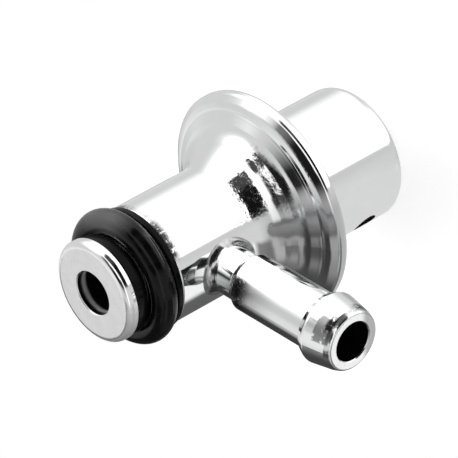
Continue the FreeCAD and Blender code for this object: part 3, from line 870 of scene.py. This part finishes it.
@dataclass(frozen=True)
class HosePipe(SubAssembly):
    """Side outlet for the hose, with its bead, and the braze that holds it.

    Attributes:
        by_shoulder: The start of the pipe, by the stub's shoulder.
        fading: The longer stretch over which the painted shade there fades.
        before_bead: The pipe from the shoulder to the bead.
        top: The height of the pipe's top.
        under: The height of its underside.
        bead: The bead and the cone.
        on_cone: The cone alone.
        cone_front: The side of the cone that faces the camera.
        cone_top: The height of the darker patch on the cone.
        spot: The stretch of the dark spot on the cone.
        spot_side: The side that the spot is on.
        by_mouth: The rounded edge of the mouth.
        face: The flat face of the mouth.
        bore: The bore, by its distance from the outlet's axis.
        in_bore: The stretch of the bore that the light reaches.
    """

    by_shoulder: Zone = Zone(Axis.OUTLET, 12.6 * MM, 15.1 * MM, 1.2 * MM)
    fading: Zone = Zone(Axis.OUTLET, 11.9 * MM, 16.9 * MM, 5 * MM)
    before_bead: Zone = Zone(Axis.OUTLET, 12.9 * MM, 26.0 * MM)
    top: Zone = Zone(Axis.MAIN, 33.6 * MM, 35.5 * MM, 0.25 * MM)
    under: Zone = Zone(Axis.MAIN, 25.0 * MM, 28.7 * MM, 0.6 * MM)
    bead: Zone = Zone(Axis.OUTLET, 26.6 * MM, 31.05 * MM)
    on_cone: Zone = Zone(Axis.OUTLET, 28.3 * MM, 30.8 * MM, 0.12 * MM)
    cone_front: Zone = Zone(Axis.ACROSS, 1.2 * MM, 4.1 * MM, 0.15 * MM)
    cone_top: Zone = Zone(Axis.MAIN, 32.9 * MM, 35.7 * MM, 0.2 * MM)
    spot: Zone = Zone(Axis.OUTLET, 29.55 * MM, 30.7 * MM, 0.25 * MM)
    spot_side: Zone = Zone(Axis.ACROSS, 2.7 * MM, 4.1 * MM, 0.35 * MM)
    by_mouth: Zone = Zone(Axis.OUTLET, 30.6 * MM, 32.6 * MM)
    face: Zone = Zone(Axis.OUTLET, 31.05 * MM, 32.05 * MM, 0.08 * MM)
    bore: Zone = Zone(Axis.FROM_OUTLET, -1 * MM, 2.79 * MM, 0.01 * MM)
    in_bore: Zone = Zone(Axis.OUTLET, 25.0 * MM, 26.6 * MM, 0.6 * MM)

    def finishes(self) -> tuple[Finish, ...]:
        """Lists the plating, with painted shade by the shoulder, underneath and in the bore, a
        painted reflection band along the top and a darker patch on the cone, and the uneven braze.

        Returns:
            The pipe's finish and the braze's.
        """
        cone_patch = (self.on_cone, self.cone_front, self.cone_top)
        pipe = MetalFinish(
            "pipe_steel",
            tone=(0.95, 0.955, 0.96),
            second_tone=(0.92, 0.925, 0.93),
            mottle_size=3 * MM,
            gloss_rough=0.05,
            dull_rough=0.10,
            reliefs=(
                Relief(4 * MM, 0.006 * MM),
                Relief(0.35 * MM, 0.0006 * MM, Grain.ALONG_OUTLET),
                Relief(0.22 * MM, 0.004 * MM, zones=(self.by_shoulder, self.top)),
                Relief(0.30 * MM, 0.006 * MM, zones=(self.on_cone, self.cone_front)),
                Relief(0.45 * MM, 0.020 * MM, zones=(self.by_mouth,)),
            ),
            markings=(
                Marking(0.14, cover=0.25, size=0.7 * MM, grain=Grain.ALONG_OUTLET),
                # Painted reflection: a faint grey band along the pipe's top, from the shoulder to
                # the bead.
                Marking(0.12, zones=(self.before_bead, self.top), tone=0.92),
                # Painted shade by the stub's shoulder, fading along the pipe's top, with dark spots
                # nearest it.
                Marking(0.20, zones=(self.fading, self.top), tone=0.24),
                Marking(0.30, 0.80, 0.35 * MM, zones=(self.by_shoulder, self.top), tone=0.03),
                # Painted shade on the pipe's underside, which is also duller.
                Marking(0.45, zones=(self.under,), tone=0.5),
                Marking(0.17, zones=(self.bead,)),
                # A darker, duller patch on the cone's front, with a dark spot in it.
                Marking(0.30, cover=0.85, size=0.9 * MM, zones=cone_patch, tone=0.36),
                Marking(0.30, 0.80, 0.35 * MM, zones=(self.spot, self.spot_side), tone=0.02),
                Marking(0.15, zones=(self.face,)),
                # Painted shade inside the bore, with a lighter band painted where the light
                # reaches.
                Marking(0.30, zones=(self.bore,), tone=0.06),
                Marking(0.60, zones=(self.bore, self.in_bore), tone=1.0),
            ),
        )
        braze = MetalFinish(
            "braze_metal",
            tone=grey(0.62),
            second_tone=grey(0.42),
            mottle_size=1.4 * MM,
            gloss_rough=0.12,
            dull_rough=0.22,
            reliefs=(Relief(1.6 * MM, 0.06 * MM), Relief(0.3 * MM, 0.003 * MM)),
        )
        return pipe, braze


@dataclass(frozen=True)
class InletNose(SubAssembly):
    """Nose that plugs into the fuel rail: O-ring, its plastic rings and the cap that keeps them.

    Attributes:
        face: The height of the cap's face.
        bore: The cap's bore, by its distance from the main axis.
        bore_lip: The height of the bore that the light reaches.
        right_side: The side of the cap that is right in the picture.
        painted_highlight: Where a highlight is painted on the rubber, by height, side and depth.
        painted_highlight_streak: Where a narrow streak of highlight is painted, likewise.
    """

    face: Zone = Zone(Axis.MAIN, 46.65 * MM, 47.7 * MM, 0.05 * MM)
    bore: Zone = Zone(Axis.OUTWARD, 0, 3.08 * MM, 0.01 * MM)
    bore_lip: Zone = Zone(Axis.MAIN, 45.2 * MM, 45.95 * MM, 0.25 * MM)
    right_side: Zone = Zone(Axis.ACROSS, -8 * MM, 1.0 * MM, 1.2 * MM)
    painted_highlight: tuple[Zone, ...] = (
        Zone(Axis.MAIN, 41.2 * MM, 43.6 * MM, 1.2 * MM),
        Zone(Axis.ACROSS, 6.0 * MM, 12.0 * MM, 2.0 * MM),
        Zone(Axis.OUTLET, -7.0 * MM, 0.8 * MM, 2.2 * MM),
    )
    painted_highlight_streak: tuple[Zone, ...] = (
        Zone(Axis.MAIN, 40.35 * MM, 41.15 * MM, 0.3 * MM),
        Zone(Axis.ACROSS, 6.0 * MM, 9.5 * MM, 0.8 * MM),
        Zone(Axis.OUTLET, 4.2 * MM, 8.0 * MM, 0.8 * MM),
    )

    def finishes(self) -> tuple[Finish, ...]:
        """Lists the satin cap, with painted shade in its bore, the black plastic, and the oiled
        rubber with painted highlights.

        Returns:
            The cap's finish, the plastic's and the rubber's.
        """
        cap = MetalFinish(
            "cap_steel",
            tone=(0.97, 0.97, 0.975),
            second_tone=(0.93, 0.93, 0.94),
            mottle_size=1.5 * MM,
            gloss_rough=0.06,
            dull_rough=0.11,
            reliefs=(Relief(0.35 * MM, 0.0012 * MM), Relief(1.8 * MM, 0.006 * MM)),
            markings=(
                Marking(0.55, zones=(self.right_side,)),
                Marking(0.22, zones=(self.face,)),
                # Painted shade inside the cap's bore, with a lighter band painted where the light
                # reaches.
                Marking(0.30, zones=(self.bore,), tone=0.10),
                Marking(0.75, zones=(self.bore, self.bore_lip), tone=0.8),
            ),
        )
        plastic = DarkFinish(
            "ring_plastic",
            tone=grey(0.002),
            second_tone=grey(0.004),
            mottle_size=1.5 * MM,
            gloss_rough=0.12,
            dull_rough=0.24,
            reliefs=(Relief(0.5 * MM, 0.003 * MM),),
            reflection=0.09,
        )
        rubber = DarkFinish(
            "oring_rubber",
            tone=grey(0.002),
            second_tone=grey(0.004),
            mottle_size=1.6 * MM,
            gloss_rough=0.12,
            dull_rough=0.26,
            reliefs=(
                Relief(2.4 * MM, 0.05 * MM),
                Relief(0.5 * MM, 0.006 * MM, Grain.ROUND_AXIS),
                Relief(0.2 * MM, 0.0008 * MM),
            ),
            markings=(
                # Painted highlights: the rubber is lightened where it faces the light, and in a
                # narrow streak.
                Marking(0.32, zones=self.painted_highlight, tone=28.0),
                Marking(0.30, 0.55, 0.35 * MM, Grain.ROUND_AXIS, self.painted_highlight_streak, tone=26.0),
            ),
            reflection=0.22,
        )
        return cap, plastic, rubber


@dataclass(frozen=True)
class Strainer(SubAssembly):
    """Moulded cage with a woven strainer behind the inlet."""

    def finishes(self) -> tuple[Finish, ...]:
        """Lists the moulded plastic and the fine steel cloth.

        Returns:
            The cage's finish and the cloth's.
        """
        cage = DarkFinish(
            "strainer_plastic",
            tone=(0.050, 0.050, 0.055),
            second_tone=(0.070, 0.070, 0.075),
            mottle_size=2 * MM,
            gloss_rough=0.40,
            dull_rough=0.50,
            reliefs=(Relief(0.4 * MM, 0.002 * MM),),
        )
        cloth = MetalFinish(
            "mesh_steel",
            tone=(0.55, 0.55, 0.56),
            second_tone=(0.45, 0.45, 0.46),
            mottle_size=0.5 * MM,
            gloss_rough=0.30,
            dull_rough=0.40,
            reliefs=(Relief(0.1 * MM, 0.002 * MM),),
        )
        return cage, cloth


@dataclass(frozen=True)
class Valve(SubAssembly):
    """Brass block, seat, ball and the holder that lifts with the diaphragm.

    Attributes:
        turning: The fine rings that a lathe tool leaves.
    """

    turning: Relief = Relief(0.15 * MM, 0.0010 * MM, Grain.ROUND_AXIS)

    def finishes(self) -> tuple[Finish, ...]:
        """Lists the turned brass, the ground seat, the polished ball and the turned steel.

        Returns:
            The finishes, in that order.
        """
        block = MetalFinish(
            "block_brass",
            tone=(0.72, 0.55, 0.28),
            second_tone=(0.66, 0.49, 0.24),
            mottle_size=2 * MM,
            gloss_rough=0.22,
            dull_rough=0.34,
            reliefs=(self.turning,),
        )
        seat = MetalFinish(
            "seat_steel",
            tone=(0.62, 0.62, 0.64),
            second_tone=(0.56, 0.56, 0.58),
            mottle_size=2 * MM,
            gloss_rough=0.18,
            dull_rough=0.28,
            reliefs=(self.turning,),
        )
        ball = MetalFinish(
            "ball_steel",
            tone=(0.80, 0.80, 0.82),
            second_tone=(0.77, 0.77, 0.79),
            mottle_size=2 * MM,
            gloss_rough=0.05,
            dull_rough=0.09,
            reliefs=(Relief(1 * MM, 0.0005 * MM),),
        )
        holder = MetalFinish(
            "holder_steel",
            tone=grey(0.60),
            second_tone=grey(0.54),
            mottle_size=2 * MM,
            gloss_rough=0.24,
            dull_rough=0.36,
            reliefs=(self.turning,),
        )
        return block, seat, ball, holder


@dataclass(frozen=True)
class DiaphragmPack(SubAssembly):
    """Cloth-backed diaphragm, main spring and the sheet seats that the spring bears on.

    The diaphragm's middle goes with the valve and its edge stays in the rim, so it is made in
    equal sectors that join without a gap.

    Attributes:
        hole_radius: The radius of the diaphragm's hole.
        edge_radius: The radius of its edge.
        top: The height of its upper side.
        thickness: Its thickness.
        roll_centre: How far out the middle of its roll lies.
        roll_radius: The radius of the roll, at half its thickness.
        roll_steps: The pieces that the roll's inner and outer arcs are cut in.
        moving_radius: The radius up to which it goes with the valve.
        clamped_radius: The radius from which it stays in the rim.
        sectors: The number of sectors.
        sector_steps: The steps that a sector is spun in.
        spring_foot: The height that the spring would shorten towards; not used.
        lift: How far the valve lifts; not used.
    """

    hole_radius: float = 3.05 * MM
    edge_radius: float = 14.58 * MM
    top: float = 18.10 * MM
    thickness: float = 0.50 * MM
    roll_centre: float = 10.30 * MM
    roll_radius: float = 1.50 * MM
    roll_steps: tuple[int, int] = (14, 18)
    moving_radius: float = 8.05 * MM
    clamped_radius: float = 12.20 * MM
    sectors: int = 12
    sector_steps: int = 8
    spring_foot: float = 1.60 * MM
    lift: float = 0.80 * MM

    def model(self, frame: Frame) -> dict[str, list[bpy.types.Object]]:
        """Makes the diaphragm's sectors and the spring.

        Args:
            frame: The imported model's bodies, nodes, joints and record.

        Returns:
            The new pieces, by the name of the node that they stand for.
        """
        return {
            "diaphragm": self.diaphragm_sectors(),
            "main_spring": [self.spring(frame["nodes"]["main_spring"])],
        }

    def arc(self, radius: float, start: float, end: float, steps: int) -> list[Point]:
        """Finds points on an arc round the roll's centre.

        Args:
            radius: The arc's radius.
            start: The angle of its first point, in radians.
            end: The angle of its last point, in radians.
            steps: How many pieces it is cut in.

        Returns:
            The points, as radius from the main axis and height.
        """
        middle = self.top - self.thickness / 2
        angles = [start + (end - start) * step / steps for step in range(steps + 1)]
        return [
            (self.roll_centre + radius * math.cos(angle), middle + radius * math.sin(angle))
            for angle in angles
        ]

    def outline(self) -> list[Point]:
        """Draws the diaphragm's section, flat at both ends with the roll between.

        It has a point wherever the bending starts or ends, so that what is flat stays flat.

        Returns:
            The corners, as radius from the main axis and height.
        """
        half = self.thickness / 2
        bottom, outer = self.top - self.thickness, self.roll_radius + half
        meets = math.asin(half / outer)
        inner_steps, outer_steps = self.roll_steps
        return [
            (self.hole_radius, self.top),
            (self.moving_radius, self.top),
            (self.roll_centre - self.roll_radius, self.top),
            *self.arc(self.roll_radius - half, math.pi, 2 * math.pi, inner_steps),
            (self.roll_centre + self.roll_radius, self.top),
            (self.clamped_radius, self.top),
            (self.edge_radius, self.top),
            (self.edge_radius, bottom),
            (self.clamped_radius, bottom),
            *self.arc(outer, 2 * math.pi - meets, math.pi + meets, outer_steps),
            (self.moving_radius, bottom),
            (self.hole_radius, bottom),
        ]

    def diaphragm_sectors(self) -> list[bpy.types.Object]:
        """Spins the section through one sector and copies it round the main axis.

        Returns:
            The sectors, the first of them in the outlet's direction.
        """
        width = 2 * math.pi / self.sectors
        corners = [(radius, 0, height) for radius, height in self.outline()]
        mesh = bpy.data.meshes.new("diaphragm_sector_1")
        mesh.from_pydata(corners, [], [list(range(len(corners)))])
        sectors = [new_piece("diaphragm_sector_1", mesh)]
        bpy.ops.object.mode_set(mode="EDIT")
        bpy.ops.mesh.select_all(action="SELECT")
        bpy.ops.mesh.spin(steps=self.sector_steps, angle=width, center=(0, 0, 0), axis=(0, 0, 1))
        finish_mesh()
        # Which way a spin turns depends on whether there is a window, so the sector is
        # turned by where its middle came out.
        centre = sum((vertex.co for vertex in mesh.vertices), Vector()) / len(mesh.vertices)
        mesh.transform(Matrix.Rotation(-math.atan2(centre.y, centre.x), 4, "Z"))
        for number in range(1, self.sectors):
            copied = mesh.copy()
            copied.transform(Matrix.Rotation(number * width, 4, "Z"))
            sectors.append(new_piece(f"diaphragm_sector_{number + 1}", copied))
        for number, piece in enumerate(sectors):
            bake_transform(piece)
        return sectors

    def spring(self, node: bpy.types.Object) -> bpy.types.Object:
        """Copies the coiled wire, welds and smooths it, and attaches it to the regulator body.

        Args:
            node: The solid of the main spring.

        Returns:
            The new piece.
        """
        piece = new_piece("coiled_spring", node.data.copy())
        bpy.ops.object.mode_set(mode="EDIT")
        finish_mesh()
        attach(piece, "regulator_body")
        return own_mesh(piece)

    def finishes(self) -> tuple[Finish, ...]:
        """Lists the rubbered cloth, the drawn wire and the zinc-passivated sheet.

        Returns:
            The diaphragm's finish, the spring's and the seats'.
        """
        cloth = DarkFinish(
            "diaphragm_rubber",
            tone=grey(0.060),
            second_tone=grey(0.080),
            mottle_size=1 * MM,
            gloss_rough=0.60,
            dull_rough=0.75,
            reliefs=(Relief(0.25 * MM, 0.004 * MM),),
        )
        wire = MetalFinish(
            "spring_steel",
            tone=(0.40, 0.40, 0.42),
            second_tone=(0.34, 0.34, 0.36),
            mottle_size=3 * MM,
            gloss_rough=0.28,
            dull_rough=0.42,
            reliefs=(Relief(0.2 * MM, 0.001 * MM),),
        )
        sheet = MetalFinish(
            "seat_sheet",
            tone=(0.70, 0.68, 0.60),
            second_tone=(0.62, 0.60, 0.50),
            mottle_size=3 * MM,
            gloss_rough=0.28,
            dull_rough=0.40,
            reliefs=(Relief(0.5 * MM, 0.002 * MM),),
        )
        return cloth, wire, sheet


def main() -> None:
    """Builds the scene and reports each piece."""
    logging.basicConfig(level=logging.INFO, format="%(message)s")
    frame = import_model()
    bpy.context.scene.view_settings.view_transform = "Standard"
    PhotoCamera().build()
    Studio().build()
    sub_assemblies = (
        Housing(), SpringCover(), HosePipe(), InletNose(), Strainer(), Valve(), DiaphragmPack())
    for sub_assembly in sub_assemblies:
        sub_assembly.build(frame)


if __name__ == "__main__":
    main()
